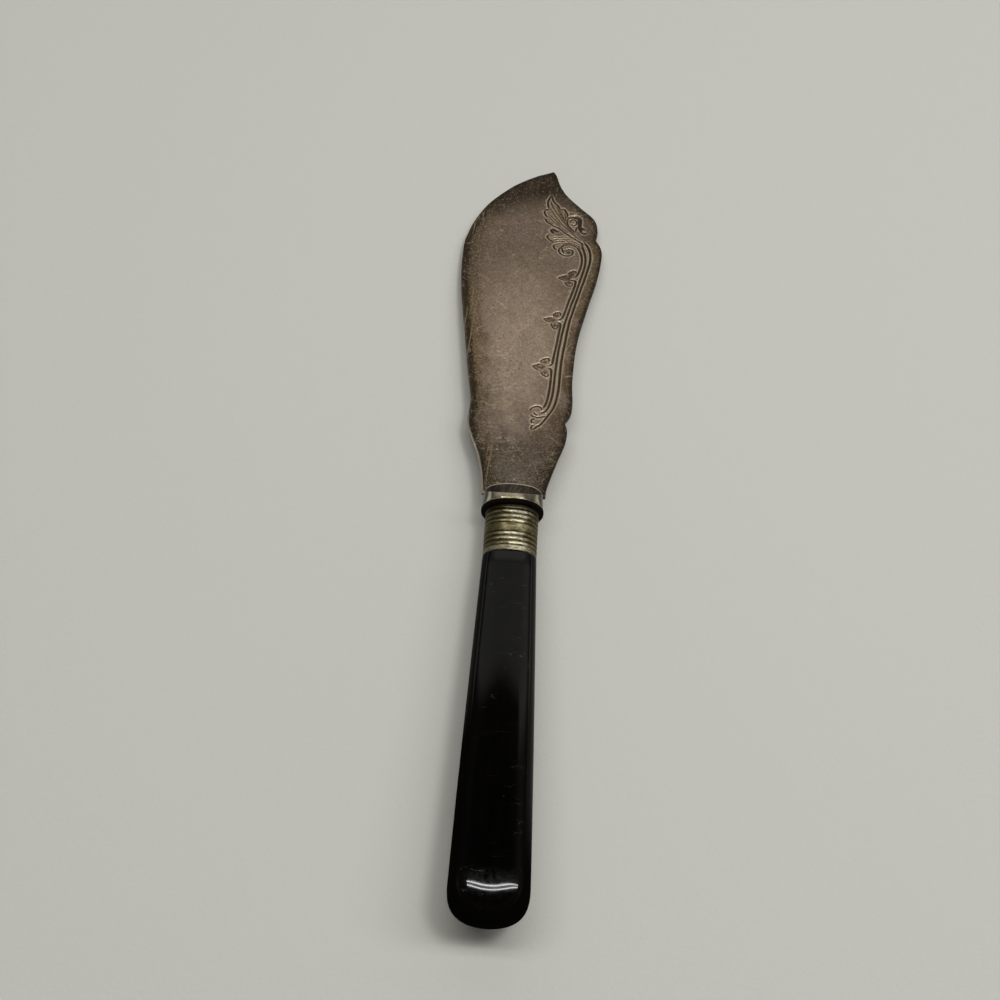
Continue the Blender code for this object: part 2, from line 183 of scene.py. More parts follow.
def tarnishedPlate():
    material, knife = startMaterial("tarnishedPlate")
    x, y = knife.axis("X"), knife.axis("Y")
    cloud = knife.noise(0.085, 4.0, 0.6)
    patch = knife.turned(20, (1, 1.7, 1)).noise(0.30, 4.0, 0.65)
    grain = knife.noise(1.7, 4.0, 0.8)
    brushed = knife.turned(3, (0.5, 4, 1)).noise(1.0, 3.0, 0.6)
    inward = painted(knife, "inward") * blade["wearReach"]  # millimetres in from the outline
    names = ("grime", "wearAndSheen", "border", "gilt")
    grime, wearAndSheen, border, gilt = (painted(knife, name) for name in names)

    (atX, atY), (wide, long) = blade["middle"], blade["middleSize"]
    fromMiddle = (((x - atX) / wide) ** 2 + ((y - atY) / long) ** 2) ** 0.5
    middle = (fromMiddle + (cloud - 0.5) * 0.9).rise(1.15, 0.15)
    colour = cloud.rise(0.34, 0.66).mix(blade["brown"], blade["rose"])
    colour = (knife.noise(0.30, 3.0, 0.6, 0.6).rise(0.44, 0.66) * 0.6).mix(colour, blade["plum"])
    colour = (middle * (0.55 + patch.rise(0.30, 0.70) * 0.4)).mix(colour, blade["pale"])
    mottle = knife.turned(35, (1.6, 0.8, 1)).noise(1.5, 4.0, 0.75)
    colour = (mottle.rise(0.50, 0.32) * 0.6).mix(colour, blade["brown"])
    colour = (mottle.rise(0.54, 0.74) * 0.5).mix(colour, blade["pale"])
    flank = (inward + (patch - 0.5) * 6).rise(*blade["flank"])
    flank = flank * x.rise(2, -3)  # beside the cutting edge
    honey = y.rise(*blade["honeyTop"]) * y.rise(*blade["honeyFoot"])
    colour = (flank * 0.85).mix(colour, honey.mix(blade["olive"], blade["honey"]))
    # painted dark reflection: darker towards the point and along the edges there
    duskyEdge = inward.rise(5.5, 0.8) * y.rise(*blade["duskEdge"])
    dusky = y.rise(*blade["dusk"]) * 0.28 + duskyEdge * 0.65  # towards the point
    colour = dusky.mix(colour, blade["dim"])
    colour = (border * patch.rise(0.32, 0.56) * 0.9).mix(colour, blade["olive"])
    colour = (gilt * 0.55).mix(colour, blade["gold"])
    tip = (y + (cloud - 0.5) * 10 - x * 0.25).rise(*blade["tip"])
    heel = (y + (patch - 0.5) * 16).rise(*blade["heel"])
    colour = (heel * 0.85).mix(colour, patch.rise(0.36, 0.60).mix(blade["dim"], blade["ash"]))
    sooty = abs(y - blade["sootAt"] + (patch - 0.5) * 6).rise(4.0, 0.5) * 0.62
    sooty = sooty + y.rise(*blade["sootFoot"]) * 0.5
    neck = (inward + (patch - 0.5) * 3).rise(4.6, 1.0) * y.rise(*blade["neck"])
    colour = (sooty + neck * 0.8).rise(0.0, 1.1).mix(colour, blade["dim"])
    neckFoot = neck * y.rise(*blade["neckFoot"]) * (0.6 + x.rise(-3, -6) * 0.3)
    colour = neckFoot.mix(colour, blade["deep"])
    # painted dark reflection at the point
    colour = (tip * 0.95).mix(colour, blade["deep"])
    rugged = flank * 0.55 + heel * 0.4 + tip * 0.2 + dusky * 0.4 + 0.26
    rugged = rugged.rise(0.0, 1.0)  # where the mottling is coarse
    colour = (grain.rise(0.50, 0.36) * rugged).mix(colour, blade["dim"])
    colour = (grain.rise(0.52, 0.68) * rugged * 0.55).mix(colour, blade["pale"])
    colour = (brushed.rise(0.45, 0.30) * 0.3).mix(colour, blade["brown"])
    fleck = knife.turned(-25, (0.5, 0.2, 0.2)).noise(1.0, 2.0, 0.7)
    colour = (fleck.rise(0.48, 0.30) * 0.4).mix(colour, blade["dim"])
    colour = (fleck.rise(0.54, 0.72) * 0.3 * (1 - tip)).mix(colour, blade["wearAndSheen"])
    specks = knife.dots(0.42, 0.13) * knife.noise(0.2, 2.0).rise(0.50, 0.60)
    colour = (specks * 0.85).mix(colour, blade["deep"])
    wider = x.rise(-5, -10) * blade["wideRim"] * y.rise(5, 12)  # along the cutting edge
    rim = (inward - wider + (grain - 0.5) * 2.2 + (patch - 0.5) * 2).rise(*blade["rim"])
    colour = (rim * 0.8).mix(colour, blade["deep"])

    hair = knife.hairlines(12, 9, 0.8, 0.012) + knife.hairlines(-38, 7, 0.9, 0.011)
    hair = hair + knife.hairlines(62, 6, 0.9, 0.011) + knife.hairlines(-74, 8, 0.8, 0.010)
    hair = hair + knife.hairlines(31, 5, 1.1, 0.012)
    alongEdge = knife.hairlines(84, 20, 0.45, 0.045) * flank
    hair = (hair + alongEdge).rise(0.0, 1.0)
    colour = (hair * (0.40 - heel * 0.18) * (1 - tip)).mix(colour, blade["scratch"])
    colour = (alongEdge * 0.75).mix(colour, blade["gold"])
    # painted reflection of the floor along the cutting edge
    edgeReflection = inward.rise(0.50, 0.15) * x.rise(-2, -5) * y.rise(70, 50)
    edgeReflection = edgeReflection * (0.15 + y.rise(22, 19) * 0.7)  # brighter beside the neck
    colour = edgeReflection.mix(colour, blade["edge"])
    # light rims beside the cuts: wear and a painted highlight
    colour = (wearAndSheen * 0.48).mix(colour, blade["wearAndSheen"])
    colour = (grime * 0.92).mix(colour, blade["grime"])
    roughness = blade["roughness"] + (cloud - 0.5) * 0.16 + (patch - 0.5) * 0.14
    roughness = roughness + grime * 0.25 - wearAndSheen * 0.06 - hair * 0.05
    height = grain * 0.5 + patch * 0.5 - hair * 0.5 - specks
    plug(material, {"Base Color": colour, "Roughness": roughness, "Metallic": 1.0,
                    "Normal": bumped(knife, height, blade["bump"])})
    return material


def addPiece(bm, name, node, material, sharp=40):
    bm.transform(toWorld)
    mesh = bpy.data.meshes.new(name)
    bm.to_mesh(mesh)
    bm.free()
    mesh.shade_smooth()
    mesh.set_sharp_from_angle(angle=radians(sharp))
    mesh.materials.clear()
    mesh.materials.append(material)
    piece = bpy.data.objects.new(name, mesh)
    bpy.context.scene.collection.objects.link(piece)
    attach(piece, "root")
    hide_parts(node)
    print(name, "done:", len(mesh.polygons), "faces")
    return piece


def path(points, step):  # a smooth run through the points, as places a step apart
    knots = [Vector(point) for point in points]
    last = len(knots) - 1
    heading = [knots[min(i + 1, last)] - knots[max(i - 1, 0)] for i in range(last + 1)]
    places = []
    for i in range(last):
        start, end = knots[i], knots[i + 1]
        third = (end - start).length / 3
        leave = start + heading[i].normalized() * third
        arrive = end - heading[i + 1].normalized() * third
        count = max(2, round(third * 3 / step) + 1)
        places += interpolate_bezier(start, leave, arrive, end, count)[:-1]
    return places + [knots[-1]]


# Each cut's half width, depth and the length over which its ends run out
cuts = {
    "stem": (0.27, 0.16, 0.7), "edge": (0.22, 0.13, 0.5), "vein": (0.17, 0.085, 1.2),
    "bold": (0.36, 0.19, 0.4), "heavy": (0.52, 0.21, 0.8), "dish": (0.72, 0.07, 0.15),
    "swell": (0.95, 0.07, 1.5),
}
engraving = {
    "rim": 0.03, "rimWidth": 0.38, "step": 0.06, "reach": 1.0, "lobeGrime": 0.72,
    "cell": 1.0, "cellShift": 0.137, "halved": 1.15, "fine": 5, "fineReach": 0.72,
    "borderSpan": (14, 73), "borderStep": 0.5,
}
scroll = [
    # pointed leaf: its lobes, its veins and the hollows between them
    ("edge", ((5.00, 87.0), (4.55, 86.1), (4.20, 85.2), (4.10, 84.3), (4.20, 83.5), (4.45, 82.7))),
    ("bold", ((4.45, 82.5), (3.95, 82.3), (3.45, 82.35))),
    ("edge", ((3.50, 82.2), (3.35, 81.5), (3.50, 80.8), (3.85, 80.2), (4.25, 79.95))),
    ("bold", ((4.20, 79.2), (3.85, 79.15), (3.50, 79.45))),
    ("edge", ((3.55, 79.3), (3.85, 78.7), (4.35, 78.15), (5.1, 77.65), (5.7, 77.2), (6.6, 76.9),
              (7.4, 76.3), (8.2, 75.6), (9.1, 74.9), (10.2, 74.1), (11.4, 73.3), (12.6, 72.5),
              (13.3, 71.6))),
    ("vein", ((4.6, 82.6), (5.3, 81.7), (6.1, 80.4), (6.9, 79.2), (7.7, 78.0), (8.7, 76.9),
              (9.8, 75.8), (10.8, 74.8), (11.6, 73.9), (12.5, 73.1))),
    ("vein", ((7.15, 82.3), (7.5, 81.4), (7.9, 80.5), (8.3, 79.4), (8.6, 78.3), (9.0, 77.4),
              (9.7, 76.5), (10.5, 75.6), (11.3, 74.7))),
    ("vein", ((4.3, 79.9), (5.0, 79.4), (5.7, 78.7), (6.5, 77.9), (7.4, 77.0), (8.3, 76.2),
              (9.3, 75.3))),
    ("vein", ((4.3, 79.0), (4.9, 78.3), (5.8, 77.6))),
    ("vein", ((4.7, 85.2), (5.2, 83.6), (6.0, 82.1), (6.9, 80.7), (7.8, 79.2), (8.7, 77.8))),
    ("vein", ((6.3, 83.5), (6.8, 82.2), (7.3, 81.0), (7.9, 79.7), (8.3, 78.8))),
    ("vein", ((3.8, 81.3), (4.7, 80.7), (5.6, 79.8), (6.6, 78.6), (7.6, 77.4))),
    ("vein", ((8.4, 82.0), (8.5, 81.0), (8.6, 80.0), (8.8, 79.0), (9.2, 78.1))),
    ("edge", ((5.1, 86.6), (5.3, 85.4), (5.8, 84.6), (6.4, 83.95), (6.9, 83.2), (7.15, 82.4))),
    ("edge", ((7.5, 82.35), (7.75, 82.7), (8.15, 82.7), (8.6, 82.1), (8.95, 81.4), (9.1, 80.7),
              (8.95, 80.1))),
    ("swell", ((5.2, 84.6), (5.9, 82.4), (6.8, 80.8), (7.8, 79.0), (9.0, 77.2))),
    ("swell", ((4.2, 81.3), (5.2, 80.4), (6.3, 79.0), (7.6, 77.5))),
    # bud
    ("bold", ((9.2, 80.0), (9.8, 80.15), (10.5, 80.35), (11.2, 80.4))),
    ("heavy", ((10.2, 80.2), (11.0, 80.35), (11.7, 80.15), (12.15, 79.6), (12.25, 78.9),
               (12.2, 78.1), (12.2, 77.3), (12.45, 76.5), (12.7, 75.7))),
    ("bold", ((12.4, 77.3), (12.95, 76.9), (13.5, 76.55))),
    ("bold", ((12.6, 75.7), (13.3, 75.4), (14.1, 75.55))),
    ("edge", ((9.75, 78.5), (9.8, 79.1), (10.3, 79.55), (11.0, 79.5), (11.45, 78.9), (11.35, 78.2),
              (10.8, 77.8), (10.2, 77.9), (9.8, 78.3))),
    ("edge", ((9.3, 79.9), (9.15, 79.0), (9.15, 78.2), (9.4, 77.6), (9.9, 76.9), (10.5, 76.2),
              (11.1, 75.6))),
    ("edge", ((11.8, 77.6), (11.45, 77.0), (11.35, 76.4), (11.2, 75.7))),
    # second leaf
    ("bold", ((6.0, 74.95), (5.5, 75.3), (5.3, 75.85), (5.7, 76.1), (6.3, 75.75), (7.1, 75.35))),
    ("edge", ((5.0, 74.6), (4.5, 74.1), (4.35, 73.6), (4.75, 73.0), (5.3, 72.5), (5.9, 71.95))),
    ("edge", ((6.75, 71.6), (6.3, 71.35), (6.05, 70.9), (6.2, 70.3), (6.65, 69.85), (7.15, 69.75))),
    ("vein", ((4.9, 74.0), (6.0, 73.7), (7.3, 73.7), (8.8, 74.0), (10.2, 73.8))),
    ("vein", ((5.6, 72.8), (6.6, 72.5), (7.8, 72.5), (9.3, 72.75), (11.0, 72.5), (12.3, 71.8))),
    ("vein", ((5.1, 73.4), (6.2, 73.1), (7.6, 73.1), (9.1, 73.4), (10.6, 73.1))),
    ("vein", ((6.5, 71.2), (7.2, 71.8), (8.4, 72.1), (9.8, 72.25), (11.2, 72.0))),
    ("swell", ((5.2, 73.5), (6.6, 73.0), (8.2, 73.1), (9.8, 73.2))),
    # volute
    ("edge", ((11.7, 70.9), (10.8, 71.45), (9.9, 71.6), (9.0, 71.45), (8.2, 70.95), (7.6, 70.3),
              (7.35, 69.6), (7.55, 68.95), (8.1, 68.4), (8.9, 68.1), (9.8, 68.15), (10.5, 68.5),
              (10.8, 69.1), (10.7, 69.7), (10.2, 70.1), (9.6, 70.0), (9.1, 69.7), (8.7, 69.3))),
    ("vein", ((7.15, 70.2), (7.6, 70.9), (8.3, 71.5), (9.2, 71.95), (10.3, 72.0), (11.3, 71.7),
              (12.1, 71.1), (12.8, 70.2))),
    ("edge", ((8.1, 70.6), (8.15, 69.9), (8.4, 69.3), (8.5, 68.7))),
    ("dish", ((9.5, 69.2), (10.1, 69.1))),
    # three stems, the innermost in four runs
    ("stem", ((11.6, 71.0), (12.1, 70.4), (12.6, 69.4), (12.9, 68.4), (13.05, 67.3), (13.05, 66.2),
              (12.9, 65.0), (12.6, 63.8), (12.25, 62.7), (11.8, 61.95), (11.2, 61.6))),
    ("stem", ((10.2, 60.7), (10.9, 60.65), (11.45, 60.6), (11.75, 60.1), (11.65, 59.2),
              (11.35, 57.9), (11.0, 56.6), (10.6, 55.2), (10.2, 53.8), (9.9, 52.5), (9.6, 51.3),
              (9.3, 50.2), (8.95, 49.3), (8.5, 48.85), (7.8, 48.65))),
    ("stem", ((7.7, 47.9), (8.15, 47.85), (8.5, 47.45), (8.6, 46.8), (8.47, 45.8), (8.3, 44.5),
              (8.15, 43.3), (8.0, 42.0), (7.85, 40.9), (7.7, 39.8), (7.5, 38.7), (7.35, 37.6),
              (7.25, 36.7), (7.1, 35.9), (6.75, 35.45), (6.2, 35.25))),
    ("stem", ((6.05, 34.2), (6.4, 34.5), (6.8, 34.25), (7.0, 33.6), (7.0, 32.6), (6.95, 31.4),
              (6.88, 30.2), (6.8, 28.8), (6.65, 27.3), (6.45, 26.0), (6.25, 25.0), (5.95, 24.1),
              (5.45, 23.15))),
    ("stem", ((12.9, 71.9), (13.2, 70.6), (13.6, 69.4), (13.85, 68.1), (13.95, 66.8), (13.85, 65.3),
              (13.55, 63.7), (13.2, 62.2), (12.85, 60.8), (12.5, 59.3), (12.15, 57.8), (11.8, 56.3),
              (11.4, 54.8), (10.95, 53.3), (10.6, 51.9), (10.3, 50.6), (10.05, 49.5), (9.8, 48.4),
              (9.5, 47.0), (9.25, 45.5), (9.0, 44.0), (8.85, 42.8), (8.7, 41.6), (8.5, 40.3),
              (8.35, 39.0), (8.25, 37.8), (8.15, 36.5), (8.05, 35.2), (7.95, 34.0), (7.88, 32.8),
              (7.8, 31.5), (7.75, 30.2), (7.65, 28.6), (7.5, 27.0), (7.3, 25.8), (7.05, 24.7),
              (6.75, 23.7), (6.4, 23.0), (5.95, 22.4), (5.4, 22.05), (4.8, 21.9))),
    ("stem", ((13.4, 72.6), (14.2, 71.5), (14.75, 70.2), (15.05, 68.9), (15.1, 67.5), (14.95, 66.0),
              (14.65, 64.5), (14.3, 63.0), (13.95, 61.5), (13.6, 60.0), (13.2, 58.6), (12.8, 57.0),
              (12.45, 55.5), (12.1, 54.2), (11.8, 53.0), (11.5, 51.8), (11.2, 50.5), (10.95, 49.4),
              (10.7, 48.4), (10.5, 47.0), (10.3, 45.6), (10.1, 44.2), (9.95, 42.8), (9.8, 41.6),
              (9.62, 40.3), (9.5, 39.2), (9.35, 37.8), (9.2, 36.5), (9.12, 35.2), (9.05, 34.0),
              (9.0, 32.7), (8.95, 31.3), (8.9, 29.8), (8.8, 28.2), (8.65, 27.0), (8.45, 25.8),
              (8.2, 24.6), (7.8, 23.4), (7.35, 22.5), (6.9, 21.7), (6.5, 20.9), (6.1, 20.3),
              (5.6, 19.5), (5.1, 18.8), (4.5, 18.3), (3.9, 17.8), (3.3, 17.3))),
    # trefoils, from the point of the blade down
    ("edge", ((10.05, 62.3), (10.15, 62.85), (10.6, 63.25), (11.2, 63.5), (11.7, 63.35),
              (11.7, 62.75))),
    ("edge", ((10.0, 62.15), (9.3, 61.95), (8.5, 61.65), (7.75, 61.25), (8.3, 60.85), (9.0, 60.6),
              (9.5, 60.5))),
    ("edge", ((9.35, 60.35), (9.3, 59.8), (9.7, 59.2), (10.35, 58.9), (10.9, 59.25), (11.1, 59.8))),
    ("dish", ((11.2, 62.9), (10.6, 62.4), (10.2, 61.6))),
    ("dish", ((8.5, 61.25), (9.4, 61.25), (10.4, 61.3))),
    ("dish", ((10.25, 59.5), (10.2, 60.2))),
    ("edge", ((7.2, 49.4), (6.9, 49.9), (7.15, 50.45), (7.75, 50.75), (8.3, 50.7), (8.55, 50.2),
              (8.4, 49.7))),
    ("edge", ((6.9, 49.25), (6.1, 49.1), (5.35, 48.9), (4.75, 48.65), (5.2, 48.2), (5.8, 47.95),
              (6.6, 47.9))),
    ("edge", ((6.6, 47.7), (6.45, 47.1), (6.75, 46.4), (7.4, 45.9), (7.9, 46.3), (8.0, 47.0),
              (7.85, 47.6))),
    ("dish", ((7.8, 50.2), (7.5, 49.5))),
    ("dish", ((5.5, 48.5), (6.4, 48.5), (7.2, 48.5))),
    ("dish", ((7.3, 46.6), (7.2, 47.3))),
    ("edge", ((4.95, 35.95), (4.5, 36.3), (4.85, 36.85), (5.5, 37.1), (6.15, 37.2), (6.35, 36.65),
              (6.1, 36.25))),
    ("edge", ((4.7, 35.6), (4.0, 35.5), (3.35, 35.2), (2.75, 35.0), (3.1, 34.4), (3.7, 34.0),
              (4.4, 33.8))),
    ("edge", ((4.6, 33.6), (4.8, 32.9), (5.3, 32.4), (6.0, 32.2), (6.3, 32.65), (6.35, 33.1))),
    ("dish", ((5.4, 36.6), (5.5, 35.9))),
    ("dish", ((3.5, 34.8), (4.4, 34.7), (5.3, 34.8))),
    ("dish", ((5.5, 32.9), (5.5, 33.7))),
    # scroll at the lower end
    ("edge", ((2.65, 22.3), (2.75, 22.9), (3.2, 23.35), (3.9, 23.65), (4.6, 23.65), (5.1, 23.3),
              (5.3, 22.7))),
    ("edge", ((3.45, 22.3), (3.6, 21.8), (4.0, 21.45), (4.6, 21.25))),
    ("edge", ((2.75, 21.6), (3.1, 21.0), (3.8, 20.75), (4.7, 20.7), (5.6, 20.95), (6.3, 21.3))),
    ("edge", ((4.0, 20.15), (3.35, 20.2), (3.0, 19.8), (3.15, 19.3), (3.9, 19.2))),
    ("edge", ((3.9, 18.65), (3.35, 18.45), (3.1, 18.0), (3.12, 17.4), (3.3, 17.2))),
]


def sampleScroll():
    marks = []
    for number, (cut, points) in enumerate(scroll):
        half, deep, runOut = cuts[cut]
        places = path(points, engraving["step"])
        lengths = [0.0]
        for i in range(1, len(places)):
            lengths.append(lengths[-1] + (places[i] - places[i - 1]).length)
        for place, gone in zip(places, lengths):
            fromEnd = min(gone, lengths[-1] - gone) / min(runOut, lengths[-1] / 2)
            share = min(1.0, 0.12 + 0.88 * fromEnd)
            marks.append((place, number, half * (0.4 + 0.6 * share), deep * share, cut))
    tree = kdtree.KDTree(len(marks))
    for index, mark in enumerate(marks):
        tree.insert((*mark[0], 0), index)
    tree.balance()
    return marks, tree


def carve(spot, marks, tree):  # height above the face, shares of grime, of wear with painted sheen, and of gilding
    soft = ("dish", "swell")  # shallow hollows without a rim
    nearest = {}
    for _, index, distance in tree.find_range((spot.x, spot.y, 0), engraving["reach"]):
        _, number, half, deep, cut = marks[index]
        if number not in nearest or distance < nearest[number][0]:
            nearest[number] = (distance, half, deep, cut)
    hollow = groove = rim = grime = gilt = lobe = 0.0
    for distance, half, deep, cut in nearest.values():
        share = min(1.0, deep / cuts["edge"][1])
        if distance < half:
            fall = cos(pi / 2 * distance / half)
            if cut == "dish":
                lobe = max(lobe, fall ** 0.5)
            if cut == "swell":
                gilt = max(gilt, fall)
            if cut in soft:
                hollow = max(hollow, deep * fall * fall)
            else:
                groove = max(groove, deep * fall)
                grime = max(grime, share * fall ** 0.7)
        elif cut not in soft and distance < half + engraving["rimWidth"]:
            rim = max(rim, share * sin(pi * (distance - half) / engraving["rimWidth"]))
    rim = rim * (1 - lobe) if groove == 0 else 0.0
    lift = rim * engraving["rim"] - groove
    return lift - hollow, max(grime, engraving["lobeGrime"] * lobe), rim, gilt


def cutGrid(bm):  # squares over the two broad faces, which carry a mark
    cell = engraving["cell"]
    for axis in (0, 1):
        normal = Vector((1, 0, 0)) if axis == 0 else Vector((0, 1, 0))
        low = min(vert.co[axis] for vert in bm.verts)
        high = max(vert.co[axis] for vert in bm.verts)
        for count in range(int(low / cell), int(high / cell) + 1):
            faces = [face for face in bm.faces if face.material_index]
            edges = {edge for face in faces for edge in face.edges}
            verts = {vert for face in faces for vert in face.verts}
            bmesh.ops.bisect_plane(bm, geom=[*verts, *edges, *faces], dist=0.00001,
                                   plane_co=normal * (count * cell + engraving["cellShift"]),
                                   plane_no=normal)


def makeBlade():
    merged, flatWithin, upright = 0.0005, 0.002, 0.2
    bm = bmesh.new()
    bm.from_mesh(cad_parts["blade"].data)
    bm.transform(toWorld.inverted())
    bmesh.ops.remove_doubles(bm, verts=bm.verts, dist=merged)
    top = max(vert.co.z for vert in bm.verts)
    for face in bm.faces:
        face.material_index = 0
    for level, mark in ((top, 1), (-top, 2)):
        flat = [face for face in bm.faces
                if all(abs(vert.co.z - level) < flatWithin for vert in face.verts)]
        for face in bmesh.ops.dissolve_faces(bm, faces=flat)["region"]:
            face.material_index = mark
    walls = [edge for edge in bm.edges
             if any(abs(face.normal.z) < upright for face in edge.link_faces)]
    outline = [edge.verts[0].co.lerp(edge.verts[1].co, share)
               for edge in walls for share in (0, 0.25, 0.5, 0.75)]
    outlineTree = kdtree.KDTree(len(outline))
    for index, place in enumerate(outline):
        outlineTree.insert((place.x, place.y, 0), index)
    outlineTree.balance()
    cutGrid(bm)
    marks, tree = sampleScroll()
    finer = ((1, engraving["halved"]), (engraving["fine"], engraving["fineReach"]))
    for cutsEach, near in finer:
        edges = set()
        for face in bm.faces:
            if face.material_index == 1 and len(face.verts) == 4:
                middle = face.calc_center_median()
                if tree.find((middle.x, middle.y, 0))[2] < near:
                    edges.update(face.edges)
        bmesh.ops.subdivide_edges(bm, edges=list(edges), cuts=cutsEach, use_grid_fill=True)
    names = ("grime", "wearAndSheen", "gilt", "inward", "border")
    layers = {name: bm.verts.layers.float.new(name) for name in names}
    outerStem = max((points for cut, points in scroll if cut == "stem"), key=len)
    stem = path(outerStem, engraving["borderStep"])
    borderFoot, borderTop = engraving["borderSpan"]
    for vert in bm.verts:
        spot = vert.co
        fromOutline = outlineTree.find((spot.x, spot.y, 0))[2]
        vert[layers["inward"]] = min(1.0, fromOutline / blade["wearReach"])
        if not any(face.material_index == 1 for face in vert.link_faces):
            continue
        beside = min(stem, key=lambda place: abs(place.y - spot.y))
        vert[layers["border"]] = float(spot.x > beside.x and borderFoot < spot.y < borderTop)
        lift, *shares = carve(spot, marks, tree)
        for name, share in zip(names, shares):
            vert[layers[name]] = share
        spot.z += lift
    addPiece(bm, "engravedBlade", "blade", tarnishedPlate(), blade["sharp"])


makeBlade()


# Each row of a loft: place along, half width, half depth, squareness, share that is painted as sunk
def ovalLoft(bm, rows, segments, ring=False):
    rim = bmesh.ops.create_circle(bm, cap_ends=not ring, radius=1.0, segments=segments)["verts"]
    for _ in rows[1:]:
        edges = [edge for edge in bm.edges if set(edge.verts).issubset(rim)]
        grown = bmesh.ops.extrude_edge_only(bm, edges=edges)["geom"]
        rim = [item for item in grown if isinstance(item, bmesh.types.BMVert)]
        bmesh.ops.translate(bm, verts=rim, vec=(0, 0, 1))
    if not ring:
        bmesh.ops.contextual_create(bm, geom=[edge for edge in bm.edges if edge.is_boundary])
    sunk = bm.verts.layers.float.new("sunk")
    for vert in bm.verts:
        along, halfWidth, halfDepth, squareness, depth = rows[round(vert.co.z)]
        across, up = vert.co.x, vert.co.y
        vert.co.x = copysign(abs(across) ** (2 / squareness), across) * halfWidth
        vert.co.y = along
        vert.co.z = copysign(abs(up) ** (2 / squareness), up) * halfDepth
        vert[sunk] = depth
    if ring:
        bmesh.ops.remove_doubles(bm, verts=bm.verts, dist=0.0003)
    bmesh.ops.recalc_face_normals(bm, faces=bm.faces)


def hollowOut(piece, bm):  # takes the shape in bm out of the piece
    bm.transform(toWorld)
    mesh = bpy.data.meshes.new("tool")
    bm.to_mesh(mesh)
    bm.free()
    tool = bpy.data.objects.new("tool", mesh)
    bpy.context.scene.collection.objects.link(tool)
    cut = piece.modifiers.new("cut", "BOOLEAN")
    cut.operation = "DIFFERENCE"
    cut.solver = "EXACT"
    cut.object = tool
    bpy.context.view_layer.update()
    graph = bpy.context.evaluated_depsgraph_get()
    solid = bpy.data.meshes.new_from_object(piece.evaluated_get(graph), depsgraph=graph)
    piece.modifiers.remove(cut)
    old = piece.data
    piece.data = solid
    solid.name = old.name
    bpy.data.meshes.remove(old)
    bpy.data.objects.remove(tool)
    bpy.data.meshes.remove(mesh)


def rod(bm, front, back, radius):
    lay = Matrix.Translation((0, (front + back) / 2, 0)) @ Matrix.Rotation(-pi / 2, 4, "X")
    bmesh.ops.create_cone(bm, cap_ends=True, segments=24, radius1=radius, radius2=radius,
                          depth=front - back, matrix=lay)


# Bolster
bolster = {
    "front": -0.3, "length": 4.2, "width": 13.8, "depth": 12.9, "taper": 0.3, "rim": 0.3,
    "bead": 0.7, "beadHeight": 0.2, "grooveShare": 1.6, "rimSquareness": 2.5, "beadSquareness": 2.2,
    "slotMiddle": (0, 0.95, 0), "slotSize": (8.6, 6.3, 1.5), "tangHole": 1.6, "tangDepth": 3.6,
    "segments": 112,
    "bright": tone(0.66, 0.61, 0.49), "warm": tone(0.46, 0.41, 0.29),
    "darkBrown": tone(0.026, 0.020, 0.014), "lighterBrown": tone(0.060, 0.047, 0.034),
    "dark": tone(0.008, 0.006, 0.004), "edge": tone(0.50, 0.48, 0.42),
    "reflectionTilt": radians(60), "behind": (-4.14, -4.28), "shadeShare": 0.8, "bump": 0.006,
}
# Boss of the bolster and spigot of the handle, inside the ferrule
boss = {"half": (4.55, 3.45), "squareness": 2.3, "back": -8.79}


def polishedPlate():
    material, knife = startMaterial("polishedPlate")
    x, y, z = knife.axis("X"), knife.axis("Y"), knife.axis("Z")
    cloud = knife.noise(0.35, 4.0, 0.6)
    grain = knife.noise(2.2, 3.0, 0.7)
    # painted reflection of the blade: a dark, streaky zone on the bolster's front, bounded by a
    # plane tilted like the view
    level = y * sin(bolster["reflectionTilt"]) + z * cos(bolster["reflectionTilt"])
    bladeReflection = level.rise(0.50, 0.68) * z.rise(0.0, 1.5)
    colour = cloud.rise(0.35, 0.65).mix(bolster["bright"], bolster["warm"])
    streaks = knife.turned(65, (3, 0.5, 1)).noise(1.0, 3.0, 0.6)
    streaked = streaks.rise(0.44, 0.62).mix(bolster["darkBrown"], bolster["lighterBrown"])
    colour = (bladeReflection * 0.98).mix(colour, streaked)
    blotch = abs(x - 3.4 + (cloud - 0.5) * 2).rise(1.5, 0.5) * (1 - bladeReflection)
    colour = (blotch * 0.7).mix(colour, bolster["darkBrown"])
    # painted shade on the back of the bolster and its bead, and a painted dark reflection on its
    # lower sides
    behind = (y + (grain - 0.5) * 0.2).rise(*bolster["behind"])
    beside = abs(x).rise(5.0, 5.9) * (z - y * 0.9).rise(7.4, 6.2) * abs(x).rise(6.88, 6.78)
    colour = ((behind + beside).rise(0.0, 1.0) * 0.95).mix(colour, bolster["dark"])
    edge = painted(knife, "sunk")  # the worn front rim
    colour = edge.mix(colour, bolster["edge"])
    hair = knife.hairlines(4, 6, 0.3, 0.03) + knife.hairlines(50, 4, 0.4, 0.02)
    roughness = 0.14 + grain * 0.10 + bladeReflection * 0.20 + hair * 0.12
    roughness = roughness + edge * 0.25 + behind * 0.6
    plug(material, {"Base Color": colour, "Roughness": roughness, "Metallic": 1.0 - edge * 0.6,
                    "Normal": bumped(knife, grain + cloud, bolster["bump"])})
    mixPaintedShade(material, knife, behind * bolster["shadeShare"], bolster["dark"])
    return material


